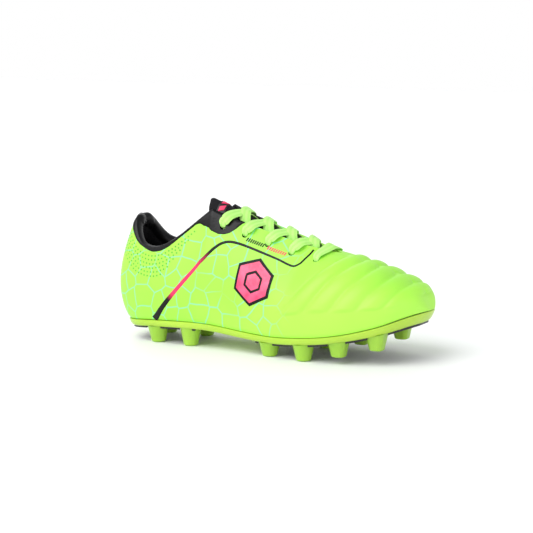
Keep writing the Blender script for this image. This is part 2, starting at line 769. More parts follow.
# The binding's section: on the outside, share of the way from the skin's edge to the top, and depth;
# then over the top and down inside, millimetres below the top, and depth.
BINDING_FACE = ((0.0, 0.0), (0.3, 0.3), (0.6, 0.35), (0.85, 0.2))
BINDING_ROLL = (
    (0.15, -0.4), (-0.45, -1.3), (-0.65, -2.5), (-0.5, -3.7), (0.0, -4.9), (1.0, -6.0), (2.4, -6.7),
    (4.2, -6.95), (6.2, -6.8), (6.2, -6.0), (3.0, -5.6), (1.4, -4.0), (1.0, -2.4), (1.6, -1.2),
)
HEEL_LIFT = 3.2  # millimetres that the roll stands higher beside the heel's middle
ROLL_THIN = 0.32  # share of the roll's depth left along the throat


def build_binding():
    """The collar's padded black binding, one closed strip from throat to throat over the heel."""
    made = rim_synthetic()
    stations = [(OUTER, u) for u in steps(0, BINDING_END, 0.05)[::-1]]
    stations += [(INNER, u) for u in steps(0, BINDING_END, 0.05)[1:]]
    rings, uv = [], []
    for n, (side, u) in enumerate(stations):
        edge = min(shell_edge(u) + 0.004, 0.99)
        top, out = wall(side, u, 1.0), wall_normal(side, u, 1.0)
        up = unit(top - wall(side, u, 0.97))
        fat = mix(ROLL_THIN, 1, smooth((3.7 - u) / 0.7)) * mix(0.5, 1, smooth((BINDING_END - u) / 0.4))
        ring = [wall(side, u, mix(edge, 1.0, share), depth) for share, depth in BINDING_FACE]
        lift = HEEL_LIFT * smooth(u / 0.7) * smooth((2.2 - u) / 1.3)
        for low, depth in BINDING_ROLL:
            rise = (lift if low < 3 else 0) - low * mix(0.6, 1, fat)
            ring.append(top + up * rise + out * (depth * fat if depth < -1.3 else depth))
        ring.append(wall(side, u, edge, -1.1))
        rings.append(ring)
        uv += [(n / len(stations), k / len(ring)) for k in range(len(ring))]
    points, faces = loft(rings)
    binding = new_piece("collar_binding", points, faces, made, uv, angle=65)
    drill(binding, SIDES, (TOP_ROW,), angle=65)
    assign(binding, "collar_facing")


def build_stiffeners():
    """The layers that lie between the skin and the lining."""
    sheet = moulded_plastic("stiffener sheet", "#DAD3C4", "#CEC6B5", 0.6, 0.0)
    foam = knit("padding foam", "#55525A", "#4A4750", 1.67)
    stay = (steps(5, 7.5, 0.1), np.linspace(0.75, 0.99, 12), 0.7)
    layers = (
        ("counter_sheet", "heel_counter", (steps(0, 3, 0.1), np.linspace(0, 0.55, 20), 1.2), SIDES),
        ("puff_sheet", "toe_puff", (steps(9.5, STATIONS, 0.1), np.linspace(0, 1, 33), 0.8), SIDES),
        ("backing_outer", "eyestay_backing_outer", stay, (OUTER,)),
        ("backing_inner", "eyestay_backing_inner", stay, (INNER,)),
    )
    for name, node, (us, vs, thick), sides in layers:
        piece = wall_layer(name, us, vs, -1.45, -1.45 - thick * 0.95, sheet, sides)
        if "eyestay" in node:
            drill(piece, sides, range(TOP_ROW + 1))
        assign(piece, node)
    pad = wall_layer(
        "collar_padding", steps(0, 3.55, 0.05), np.linspace(0.67, 0.96, 20), -1.4,
        lambda t: np.minimum(-1.42, lining_face(t) + 0.05), foam,
    )
    assign(pad, "collar_foam")


# ---- Outsole, inserts, studs and boards -----------------------------------------------------------

BAND, TOE_BAND, BAND_PROUD = 4.4, 2.4, 0.5
SIDE_TAPER, END_TAPER = 0.8, 3.8
INSERT_DEPTH, INSERT_PROUD, INSERT_INSET = 1.4, 1.4, 2.6
INSERTS = {"forefoot_insert": (6, 11.5), "heel_insert": (1, 4)}
LASTED_INSET, SOCKLINER_TOE_INSET = 4.8, 9
BOARD, SOCKLINER = 1.6, 3.6
STUD_HEIGHT, STUD_BASE, STUD_TIP, STUD_ROUND = 9.6, 6.8, 5.0, 1.3
BOSS = STUD_BASE + 0.6
LEVEL_UNTIL = 150
# Each stud's middle, and whether its sides are flattened.
STUDS = {
    "heel_outer_rear": (29, -18.5, False), "heel_outer_front": (55, -20, False),
    "heel_inner_rear": (18, 14.5, False), "heel_inner_front": (46.5, 16, False),
    "forefoot_outer_1": (118, -27.2, False), "forefoot_outer_2": (144.5, -31.4, False),
    "forefoot_outer_3": (169, -30.8, True), "forefoot_outer_4": (192, -23.6, True),
    "forefoot_inner_1": (138, 15, False), "forefoot_inner_2": (161, 20.5, True),
    "forefoot_inner_3": (188, 24.5, True),
}


def plate_bottom(x):
    return feather_z(x) - BAND - TOE_BAND * clamp((x - 165) / 52) ** 2


def taper(u):
    """How far the rim draws in on its way down at a station."""
    return mix(SIDE_TAPER, END_TAPER, max(smooth(1 - u / 2), smooth((u - 9.8) / 2.2)))


def slab(us, out, top, bottom, cells=10):
    """Points and faces of a flat-lying piece whose edge stands `out` from the feather line."""
    across = np.linspace(0, 1, cells + 1)[:, None]
    upper, lower = [], []
    for u in us:
        a, b = (feather(side, u, out(u))[0] for side in SIDES)
        line = a * (1 - across) + b * across
        upper.append([(x, y, top(x)) for x, y, z in line])
        lower.append([(x, y, bottom(x)) for x, y, z in line])
    return sheet_between(upper, lower)


def boss_tools(start, end, radius):
    """Upright cylinders round the studs that stand on an insert between two stations."""
    low, high = (feather(OUTER, u)[0][0] + reach for u, reach in ((start, -12), (end, 12)))
    ring = np.array([(radius * math.cos(a), radius * math.sin(a), 0) for a in circle(40)])
    tools = []
    for x, y, _ in STUDS.values():
        if low < x < high:
            points, faces = loft([ring + (x, y, -5), ring + (x, y, 60)])
            tools.append(new_piece("boss", points, faces, bpy.data.materials[0]))
    return tools


def recess_top(x):
    """Height to which the inserts' recesses are cut."""
    return plate_bottom(x) + INSERT_DEPTH


# The rim's section: share of the way down, and how far it bulges past a straight taper.
RIM_SECTION = (
    (0, -0.5), (0.06, -0.12), (0.16, 0.0), (0.38, 0.14), (0.6, 0.12), (0.8, -0.06), (0.92, -0.4), (1, -1.1),
)


def build_plate():
    """The outsole's plate with its rim, recessed for the two inserts around the studs' bosses."""
    made = moulded_plastic("outsole polyurethane", "#B0D63C", "#A6CC36", 0.34, 0.2)
    rings = []
    across = np.linspace(0, 1, 13)[1:-1, None]
    for u in steps(0, STATIONS, 0.05):
        sections = []
        for side in SIDES:
            section = []
            for down, bulge in RIM_SECTION:
                p = feather(side, u, BAND_PROUD + bulge - taper(u) * down)[0]
                section.append((p[0], p[1], mix(feather_z(p[0]), plate_bottom(p[0]), down)))
            sections.append(np.array(section))
        outer, inner = sections
        low = outer[-1] * (1 - across) + inner[-1] * across
        low[:, 2] = [plate_bottom(x) for x in low[:, 0]]
        high = inner[0] * (1 - across) + outer[0] * across
        high[:, 2] = [feather_z(x) for x in high[:, 0]]
        rings.append(np.concatenate([outer, low, inner[::-1], high]))
    points, faces = loft(rings)
    plate = new_piece("outsole", points, faces, made, angle=45)
    for key, (start, end) in INSERTS.items():
        us = steps(start, end, 0.1)
        points, faces = slab(us, lambda u: GAP - insert_inset(u), recess_top, lambda x: plate_bottom(x) - 5)
        recess = new_piece("recess", points, faces, made)
        carve(recess, boss_tools(start, end, BOSS))
        carve(plate, [recess], 45)
    assign(plate, "outsole_plate")


def insert_inset(u):
    """How far the inserts' edges lie inside the feather line."""
    return max(INSERT_INSET, taper(u) + 0.7)


def build_inserts():
    made = moulded_plastic("insert polyurethane", "#0F0D10", "#151317", 0.42, 0.1)
    for key, (start, end) in INSERTS.items():
        us = steps(start + 0.03, end - 0.03, 0.1)
        points, faces = slab(
            us, lambda u: -insert_inset(u), lambda x: recess_top(x) - GAP,
            lambda x: plate_bottom(x) - INSERT_PROUD)
        insert = new_piece(key + "_tread", points, faces, made)
        carve(insert, boss_tools(start, end, BOSS + GAP), 40)
        assign(insert, key)


def stud_section():
    """Radius and height share of a stud's outline, from the tip to the fillet at its base."""
    corner = [
        (STUD_TIP - STUD_ROUND + STUD_ROUND * math.sin(a), STUD_ROUND * (1 - math.cos(a)))
        for a in np.linspace(0, math.pi / 2, 7)
    ]
    side = [
        (mix(STUD_TIP, STUD_BASE, t ** 1.1), mix(STUD_ROUND, STUD_HEIGHT - 1.6, t))
        for t in (0.33, 0.66, 1.0)
    ]
    fillet = [(STUD_BASE + r, STUD_HEIGHT - z) for r, z in ((0.18, 0.9), (0.5, 0.35), (0.62, 0))]
    return [(0.01, 0), (STUD_TIP * 0.4, 0)] + corner + side + fillet


def build_studs():
    made = moulded_plastic("stud polyurethane", "#9CCB38", "#90C030", 0.36, 0.2)
    section = stud_section()
    for name, (x, y, faceted) in STUDS.items():
        floor = 0 if x < LEVEL_UNTIL else max(0, plate_bottom(x) - STUD_HEIGHT)
        rings = []
        for radius, height in section:
            ring = []
            for a in circle(48):
                flat = 1.0
                if faceted:
                    flat = min(1.0, 0.88 / (abs(math.cos(a)) ** 8 + abs(math.sin(a)) ** 8) ** 0.125)
                px, py = x + radius * flat * math.cos(a), y + radius * flat * math.sin(a)
                share = height / STUD_HEIGHT
                ring.append((px, py, mix(floor, plate_bottom(px) + 0.05, share)))
            rings.append(ring)
        points, faces = loft(rings)
        stud = new_piece("stud_" + name + "_cone", points, faces, made, angle=50)
        assign(stud, "stud_" + name)


def build_boards():
    board_stuff = knit("fibre board", "#B8B1A2", "#ADA593", 0.833)
    cloth = knit("sockliner cloth", "#17151A", "#221F26", 1.25)
    us = steps(0.5, 11.5, 0.1)
    points, faces = slab(
        us, lambda u: -LASTED_INSET, lambda x: feather_z(x) + GAP + BOARD, lambda x: feather_z(x) + GAP)
    board = new_piece("lasted_board", points, faces, board_stuff)
    assign(board, "lasting_board")
    low, high = 2 * GAP + BOARD, 2 * GAP + BOARD + SOCKLINER
    points, faces = slab(
        us, lambda u: -mix(LASTED_INSET + 0.6, SOCKLINER_TOE_INSET, smooth((u - 8) / 3)),
        lambda x: feather_z(x) + high, lambda x: feather_z(x) + low, 12)
    sock = new_piece("sockliner_sheet", points, faces, cloth)
    bevel(sock, 0.8, 3, 50)
    assign(sock, "sockliner")


# ---- Tongue --------------------------------------------------------------------------------------

LACE_THICK = 1.2  # room that the lace is given between other pieces
EYESTAY = SHELL + GAP + 0.7 + GAP + LINING
SLACK = 0.6
UNDER_EYESTAY = -(EYESTAY + GAP + LACE_THICK / 2 + SLACK)
TONGUE_DEPTH = UNDER_EYESTAY - LACE_THICK / 2 - 3 * GAP
TONGUE_CROWN, TONGUE_BASE, TONGUE_TOP, TONGUE_TIP = 6, 8.5, 4.5, 16
TIP_REACH, TIP_NARROW = 1.5, 0.72
TONGUE_SKIN, TONGUE_FOAM, TONGUE_LINING = 0.8, 3.0, 0.7
TONGUE_THICK = TONGUE_SKIN + TONGUE_FOAM + TONGUE_LINING + 2 * GAP


@functools.lru_cache(maxsize=None)
def tongue_guides(u):
    closing, opening = smooth((u - 7.2) / 0.8), smooth(5.5 - u)
    rows = (mix(0.74, 0.8, opening), mix(0.88, 0.9, opening), mix(1, 0.94, closing))
    depth = TONGUE_DEPTH - 0.8 * opening
    outer, inner = ([wall(side, u, v, depth) for v in rows] for side in SIDES)
    middle = (outer[2] + inner[2]) / 2
    middle[2] += mix(TONGUE_CROWN, 0.4, closing)
    return outer + [middle] + inner[::-1]


@functools.lru_cache(maxsize=None)
def tongue_tip_run():
    """Direction in which the tongue's tip runs on past the throat."""
    return unit(tongue_point(TONGUE_TOP, 0) - tongue_point(TONGUE_TOP + 0.5, 0))


def tongue_point(u, w):
    """A point of the tongue's face, w from -1 at the outer edge to 1 at the inner edge."""
    if u >= TONGUE_TOP:
        return through(tongue_guides(u), (w + 1) * 3)
    reach = (TONGUE_TOP - u) / TIP_REACH
    p = tongue_point(TONGUE_TOP, w) + tongue_tip_run() * reach * TONGUE_TIP
    p[1] *= mix(1, TIP_NARROW, reach ** 2)
    return p


def tongue_normal(u, w):
    h = 0.04
    du = tongue_point(u + h, w) - tongue_point(u - h, w)
    dw = tongue_point(u, min(1, w + h)) - tongue_point(u, max(-1, w - h))
    return unit(np.cross(du, dw))


def over_tongue(u, w, height):
    return tongue_point(u, w) + tongue_normal(u, w) * height


def build_tongue(look):
    """The padded tongue: one rounded body, its lining, the foam inside and a plain patch."""
    made = knit("tongue mesh", "#080709", "#0F0D11", 0.909)
    us = list(steps(TONGUE_BASE, TONGUE_TOP - TIP_REACH, 0.1))
    half = TONGUE_THICK / 2
    tip_angles = np.linspace(0, math.pi / 2, 6)[1:]
    widths = np.linspace(-1, 1, 25)
    rings, uv = [], []
    sections = [(u, 1.0, 0.0) for u in us] + [(us[-1], math.cos(a), math.sin(a)) for a in tip_angles]
    end = unit(over_tongue(us[-1], 0, 0) - over_tongue(us[-2], 0, 0))
    for n, (u, share, past) in enumerate(sections):
        share = max(share, 0.06)
        top, low = [], []
        for w in widths:
            n_w, p = tongue_normal(u, w), tongue_point(u, w)
            quilt = 0.35 * math.cos(w * 9.4) ** 2 * smooth((1 - abs(w)) * 4)
            edge = math.sqrt(max(0.0, 1 - max(0.0, (abs(w) - 0.86) / 0.14) ** 2))
            middle = p - n_w * half + end * past * half * 1.3
            thick = half * share * max(edge, 0.12)
            top.append(middle + n_w * (thick - quilt * 0.4))
            low.append(middle - n_w * thick)
        ring = top + low[::-1]
        rings.append(ring)
        uv += [(n / len(sections), k / len(ring)) for k in range(len(ring))]
    points, faces = loft(rings)
    body = new_piece("tongue_body", points, faces, made, uv, angle=80)
    assign(body, "tongue_face", "tongue")
    build_tongue_sheets(us)
    build_patch(look)


def tongue_layer(name, us, widths, outer, inner, made):
    rows = [[over_tongue(u, w, outer) for w in widths] for u in us]
    backs = [[over_tongue(u, w, inner) for w in widths] for u in us]
    points, faces = sheet_between(rows, backs)
    return new_piece(name, points, faces, made, angle=50)


def build_tongue_sheets(us):
    lining_cloth = knit("tongue lining knit", "#0B090C", "#121014")
    foam_stuff = knit("tongue foam", "#55525A", "#4A4750", 1.67)
    inner = np.linspace(-0.9, 0.9, 19)
    sheet = tongue_layer("tongue_back", us, inner, -TONGUE_THICK + 0.35, -TONGUE_THICK - 0.12, lining_cloth)
    assign(sheet, "tongue_lining", "tongue")
    middle = np.linspace(-0.8, 0.8, 13)
    core = tongue_layer("tongue_core", us[2:-2], middle, -1.3, -TONGUE_THICK + 1.2, foam_stuff)
    assign(core, "tongue_foam", "tongue")


def build_patch(look):
    """A plain black patch near the tongue's tip, with three plain raised bars."""
    made, shader, tree = material("patch rubber", "#0E0C0F", 0.4)
    grain(tree, shader, 1.11, 0.15, 0.15)
    us, widths = steps(4.05, 3.45, 0.03), np.linspace(-0.36, 0.36, 25)
    patch = tongue_layer("tongue_patch", us, widths, 0.35, -0.5, made)
    assign(patch, "tongue_label", "tongue")
    pink, shader, tree = material("bar rubber", look["pink"], 0.42)
    grain(tree, shader, 1.11, 0.15, 0.15)
    for k, middle in enumerate((-0.2, 0.0, 0.2)):
        rows, backs = [], []
        for u in steps(3.95, 3.58, 0.03):
            lean = (u - 3.76) * 0.25
            rows.append([over_tongue(u, middle + lean + w, 0.75) for w in (-0.055, 0, 0.055)])
            backs.append([over_tongue(u, middle + lean + w, 0.1) for w in (-0.065, 0, 0.065)])
        points, faces = sheet_between(rows, backs)
        bar = new_piece("patch_bar_%d" % (k + 1), points, faces, pink, angle=40)
        assign(bar, None, "tongue")


# ---- Lace ----------------------------------------------------------------------------------------

LACE_WIDTH, LACE_NECK, BAND_THICK = 7.2, 3.2, 1.0  # the band itself: flat, in an eyelet, and its thickness
OVER = GAP + LACE_THICK / 2 + 0.35
LACE_EASING = 14  # rounds of smoothing between the eyelets
RIM = 0.995
BAR_BOW = 0.12


def through_eyelet(place):
    """Stops of the lace, down through an eyelet from outside and back under the eyestay. Each stop is a
    point, the way that the band faces there, and its width."""
    side, row, u, v = place
    at, n = wall(side, u, v), wall_normal(side, u, v)
    toward = wall(side, u, min(1, v + 0.06)) - at
    toward = unit(toward - n * toward.dot(n))
    turn = (
        (3.4, OVER + 0.4, 1, 0.8), (1.3, OVER - 0.02, 0.7, 0.3), (0.1, -0.4, -0.2, 0),
        (-0.1, -EYESTAY / 2, -1, 0), (0.2, -EYESTAY + 0.3, -0.2, 0), (1.4, UNDER_EYESTAY + 0.3, 0.7, 0),
        (3.4, UNDER_EYESTAY, 1, 0.3),
    )
    stops = []
    for k, (s, d, up, wide) in enumerate(turn):
        lift = max(up, 0)
        face = n * (lift if k < 3 else -lift) - toward * (1 - lift)
        stops.append((at + toward * s + n * d, unit(face), mix(LACE_NECK, LACE_WIDTH, wide)))
    return stops


def crossing(start, end, lifted):
    """From under one throat edge, over the tongue and over the other edge."""
    def run(place, a, b, f, depth, width):
        side, row, u, v = place
        uu, vv = mix(a, b, f), mix(v, RIM, f)
        return wall(side, uu, vv, depth), wall_normal(side, uu, vv), width

    leave, narrow = mix(start[2], end[2], 0.12), mix(LACE_NECK, LACE_WIDTH, 0.35)
    stops = [run(start, start[2], leave, f, UNDER_EYESTAY, narrow) for f in (0.5, 1)]
    for t in (-0.26, -0.12, 0, 0.12):
        u, w = mix(start[2], end[2], 0.5 + t * 0.9), t * end[0]
        rise = OVER + 0.3 + (LACE_THICK + GAP if lifted and t > -0.2 else 0) + (0.8 if t > 0 else 0)
        stops.append((over_tongue(u, w, rise), tongue_normal(u, w), LACE_WIDTH))
    arrive = mix(start[2], end[2], 0.86)
    return stops + [run(end, end[2], arrive, f, OVER + 0.7 + 0.7 * f, LACE_WIDTH) for f in (1, 0.5)]


def strand(side):
    """All stops from one front eyelet to the top one that its strand ends in."""
    stops = []
    for row in range(TOP_ROW):
        start = eyelet(-side if row % 2 else side, row)
        end = eyelet(-start[0], row + 1)
        stops += through_eyelet(start) + crossing(start, end, start[0] == OUTER)
    return stops + through_eyelet(eyelet(-side if TOP_ROW % 2 else side, TOP_ROW))[:4]


def lace_stops():
    a, b = eyelet(OUTER, 0), eyelet(INNER, 0)
    bar = []
    for t in (-0.9, -0.45, 0, 0.45, 0.9):
        side = OUTER if t < 0 else INNER
        u = a[2] + BAR_BOW * (1 - t * t)
        if t == 0:
            middle = (wall(OUTER, u, RIM, OVER + 0.4) + wall(INNER, u, RIM, OVER + 0.4)) / 2 + (0, 0, 1.4)
            bar.append((middle, tongue_normal(u, 0), LACE_WIDTH))
        else:
            v = mix(RIM, (a if t < 0 else b)[3], max(0, abs(t) - 0.45))
            bar.append((wall(side, u, v, OVER + 0.4), wall_normal(side, u, v), LACE_WIDTH))
    return strand(OUTER)[::-1] + bar + strand(INNER)


def spline(points, fine):
    """Centripetal Catmull-Rom points, `fine` for each span."""
    points = [2 * points[0] - points[1]] + list(points) + [2 * points[-1] - points[-2]]
    made = []
    for i in range(1, len(points) - 2):
        p0, p1, p2, p3 = points[i - 1:i + 3]
        t1 = max(np.linalg.norm(p1 - p0) ** 0.5, 1e-4)
        t2 = t1 + max(np.linalg.norm(p2 - p1) ** 0.5, 1e-4)
        t3 = t2 + max(np.linalg.norm(p3 - p2) ** 0.5, 1e-4)
        for k in range(fine):
            t = mix(t1, t2, k / fine)
            a1, a2 = p0 + (p1 - p0) * t / t1, p1 + (p2 - p1) * (t - t1) / (t2 - t1)
            a3 = p2 + (p3 - p2) * (t - t2) / (t3 - t2)
            b1, b2 = a1 + (a2 - a1) * t / t2, a2 + (a3 - a2) * (t - t1) / (t3 - t1)
            made.append(b1 + (b2 - b1) * (t - t1) / (t2 - t1))
    return np.array(made + [points[-2]])


def rounded(value, power):
    """A sine or cosine pushed outwards, which squares a round section's corners."""
    return math.copysign(abs(value) ** power, value)


# Section of a flat lace: share of the half width, and share of the half thickness.
LACE_SECTION = [(rounded(math.cos(a), 0.55), rounded(math.sin(a), 0.8)) for a in circle(20)]


def ribbon(name, stops, made, scale):
    """A woven ribbon through stops, with its length and width in metres as UV."""
    fine = 6  # points for each stop
    path = spline([s[0] for s in stops], fine)
    along, count = np.arange(len(path)) / fine, np.arange(len(stops))
    loose = np.interp(along, count, [1.0 if s[2] > LACE_NECK * 1.1 else 0.0 for s in stops])[:, None]
    faces = np.stack([np.interp(along, count, [s[1][k] for s in stops]) for k in range(3)], 1)
    widths = np.interp(along, count, [s[2] for s in stops])
    for _ in range(LACE_EASING):
        for line in (path, faces):
            middle = (line[:-2] + line[2:]) / 2
            line[1:-1] += (middle - line[1:-1]) * loose[1:-1] * 0.5
        widths[1:-1] = (widths[:-2] + widths[2:]) / 4 + widths[1:-1] / 2
    last, rings, uv, gone = None, [], [], lengths_along(path) * MM
    tangents = np.gradient(path, axis=0)
    for n, p in enumerate(path):
        face, width = faces[n], widths[n] * scale / 2
        tangent = unit(tangents[n])
        wide = unit(np.cross(tangent, face))
        if last is not None and wide.dot(last) < 0:
            wide = -wide
        last = wide if last is None else unit(last * 0.35 + wide * 0.65)
        up = unit(np.cross(last, tangent))
        rings.append([p + last * width * a + up * BAND_THICK / 2 * b for a, b in LACE_SECTION])
        uv += [(gone[n], a * width * MM) for a, b in LACE_SECTION]
    points, faces = loft(rings)
    return new_piece(name, points, faces, made, uv, angle=70)


def build_lace(look):
    made = woven_lace(look)
    lace = ribbon("lace_band", lace_stops(), made, look["lace_width"] / (LACE_WIDTH * MM))
    assign(lace, "lace")


END_DOWN = (
    (4.44, 0.82, -4), (4.42, 0.74, -4), (4.4, 0.6, -4), (4.36, 0.46, -4.2), (4.3, 0.33, -5),
    (4.3, 0.24, -8),
)
END_FLAT = ((73, 15.5), (83, 13), (94, 12), (105, 13), (116, 15.5), (127, 16), (137, 14))
END_RADIUS = 1.0
END_LIFT = 2 * GAP + BOARD + SOCKLINER + 3 * GAP + END_RADIUS
AGLET_LENGTH, AGLET_RADIUS = 18, 1.8


def end_points(side):
    """The tucked lace end's route: down the wall under the tongue's edge, then along the sockliner."""
    row, u, v = eyelet(side, TOP_ROW)[1:]
    points = [wall(side, u, v, -(EYESTAY / 2 + GAP + 0.2)), wall(side, u, v - 0.01, -(EYESTAY + 0.2))]
    points += [wall(side, a, b, d) for a, b, d in END_DOWN]
    points += [np.array((x, side * y, feather_z(x) + END_LIFT)) for x, y in END_FLAT]
    return points


def build_lace_ends(look):
    made = woven_lace(look)
    tip = moulded_plastic("aglet film", "#DDFBAF", "#D2F3A2", 0.3, 0.3)
    angles = circle(12)
    for side, name in ((OUTER, "outer"), (INNER, "inner")):
        path = spline(end_points(side), 8)
        rings, uv, gone = [], [], lengths_along(path) * MM
        tangents = np.gradient(path, axis=0)
        wide = unit(np.cross(tangents[0], wall_normal(side, 4.44, 0.82)))
        for n, p in enumerate(path):
            tangent = unit(tangents[n])
            wide = unit(wide - tangent * wide.dot(tangent))
            up = np.cross(wide, tangent)
            rings.append([p + END_RADIUS * (wide * math.cos(a) + up * math.sin(a)) for a in angles])
            uv += [(gone[n], 2 * END_RADIUS * MM * k / 12) for k in range(12)]
        points, faces = loft(rings)
        end = new_piece("lace_tail_" + name, points, faces, made, uv, angle=70)
        assign(end, "lace_end_" + name)
        aglet = build_aglet("aglet_tip_" + name, path[-1], unit(tangents[-1]), tip)
        assign(aglet, "aglet_" + name)


def build_aglet(name, start, run, made):
    floor = 2 * GAP + BOARD + SOCKLINER + GAP + AGLET_RADIUS
    a, b = start + run * GAP, start + run * (GAP + AGLET_LENGTH)
    a[2], b[2] = feather_z(a[0]) + floor, feather_z(b[0]) + floor
    axis = unit(b - a)
    wide = unit(np.cross(axis, (0, 0, 1.0)))
    up = np.cross(wide, axis)
    sections = ((0, 0.7), (0.02, 0.92), (0.06, 1), (0.94, 1), (0.98, 0.9), (1, 0.6))
    ring = np.array([AGLET_RADIUS * (wide * math.cos(t) + up * math.sin(t)) for t in circle(20)])
    rings = [a + (b - a) * s + ring * r for s, r in sections]
    points, faces = loft(rings)
    return new_piece(name, points, faces, made, angle=50)


# ---- Printed and pressed details --------------------------------------------------------------------

# The side line: station, height and width in millimetres.
SIDE_LINE = (
    (2.7, 0.015, 4.1), (2.81, 0.06, 4.0), (2.95, 0.135, 3.6), (3.18, 0.24, 3.2), (3.59, 0.395, 2.8),
    (4.02, 0.53, 2.5), (4.19, 0.605, 2.2), (4.37, 0.68, 2.0), (4.58, 0.74, 1.9), (4.82, 0.774, 1.8),
    (5.2, 0.79, 1.7), (5.92, 0.795, 1.6), (6.5, 0.785, 1.5), (6.8, 0.768, 1.5), (6.98, 0.762, 1.5),
    (7.12, 0.795, 1.5), (7.2, 0.86, 1.4), (7.26, 0.93, 1.3), (7.27, 0.97, 1.2),
)
LINE_FILM = 0.12
INK = "#0B090B"
# The line's section: share of its half width, and height over the upper.
LINE_SECTION = (
    (-1, -0.3), (-1, 0.02), (-0.9, LINE_FILM), (0, LINE_FILM), (0.9, LINE_FILM), (1, 0.02), (1, -0.3),
    (0, -0.3),
)


def surface_height(u, v):
    """What the skin's relief adds at a place."""
    return float(rib_relief(np.array([u]), np.array([v]))[0])


def build_side_lines(look):
    """A printed line on each side that runs up from the outsole and along the eyestay."""
    pink = look["pink"]
    stops = ((0.0, INK), (0.13, INK), (0.17, pink), (0.335, pink), (0.43, INK), (1.0, INK))
    made = printed_film("line print", stops)
    for side, name in ((OUTER, "outer"), (INNER, "inner")):
        places = spline([np.array([u, v * 10, w]) for u, v, w in SIDE_LINE], 14)
        us, vs, widths = places[:, 0], places[:, 1] / 10, places[:, 2]
        middle = wall(side, us, vs)
        tangents = np.gradient(middle, axis=0)
        gone = lengths_along(middle)
        rings, uv = [], []
        for n in range(len(us)):
            normal = wall_normal(side, us[n], vs[n])
            wide = unit(np.cross(normal, tangents[n]))
            high = surface_height(us[n], vs[n])
            half = widths[n] / 2
            rings.append([middle[n] + wide * half * a + normal * (high + d) for a, d in LINE_SECTION])
            uv += [(gone[n] / gone[-1], k / 8) for k in range(8)]
        points, faces = loft(rings)
        line = new_piece("side_line_" + name, points, faces, made, uv, angle=50)
        assign(line, None)


EMBLEM_AT, EMBLEM_RADIUS = (5.95, 0.5), 16
# The badge from its middle out: share of the radius, and rise in millimetres. The low rings are black.
BADGE_RINGS = (
    (0.0, 0.5), (0.36, 0.5), (0.37, 0.32), (0.47, 0.32), (0.48, 0.55), (0.86, 0.55), (0.87, 0.36),
    (0.99, 0.36), (1.0, -0.3),
)
BLACK_RINGS = ((0.36, 0.47), (0.87, 1.0))
HALF_CELL = math.pi / 6  # from a hexagon's corner to the middle of its side, seen from its centre


def build_badges(look):
    """A plain hexagonal badge on each side: pink cells with black edges."""
    pink, shader, tree = material("badge film pink", look["pink"], 0.38, Coat_Weight=0.2)
    varied(tree, shader, (look["pink"], "#F75A84"), 6.25)
    black, shader, tree = material("badge film black", "#070608", 0.5, Specular_IOR_Level=0.25)
    grain(tree, shader, 1.11, 0.1, 0.1)
    for side, name in ((OUTER, "outer"), (INNER, "inner")):
        u0, v0 = EMBLEM_AT
        h = 0.05  # step for the wall's millimetres per station and per height
        per_u = np.linalg.norm(wall(side, u0 + h, v0) - wall(side, u0 - h, v0)) / (2 * h)
        per_v = np.linalg.norm(wall(side, u0, v0 + h) - wall(side, u0, v0 - h)) / (2 * h)
        rings = []
        for share, rise in BADGE_RINGS:
            ring = []
            for a in circle(48):
                from_side = (a + HALF_CELL) % (2 * HALF_CELL) - HALF_CELL
                radius = EMBLEM_RADIUS * max(share, 0.004) * math.cos(HALF_CELL) / math.cos(from_side)
                u, v = u0 + radius * math.cos(a) / per_u, v0 + radius * math.sin(a) / per_v
                ring.append(wall(side, u, v, rise))
            rings.append(ring)
        points, faces = loft(rings)
        badge = new_piece("badge_" + name, points, faces, pink, angle=45)
        badge.data.materials.append(black)
        color_badge(badge, side, u0, v0)
        assign(badge, "emblem_" + name)


def color_badge(badge, side, u0, v0):
    """Gives the badge's faces their ink by their distance from its middle."""
    middle = (wall(side, u0, v0, 0.5) - SHIFT) * MM
    normal = wall_normal(side, u0, v0)
    for face in badge.data.polygons:
        away = np.array(face.center) - middle
        away -= normal * away.dot(normal)
        share, flat = np.linalg.norm(away) / (EMBLEM_RADIUS * MM), math.cos(HALF_CELL)
        black = any(low * flat - 0.01 < share < high + 0.01 for low, high in BLACK_RINGS)
        face.material_index = 1 if black else 0


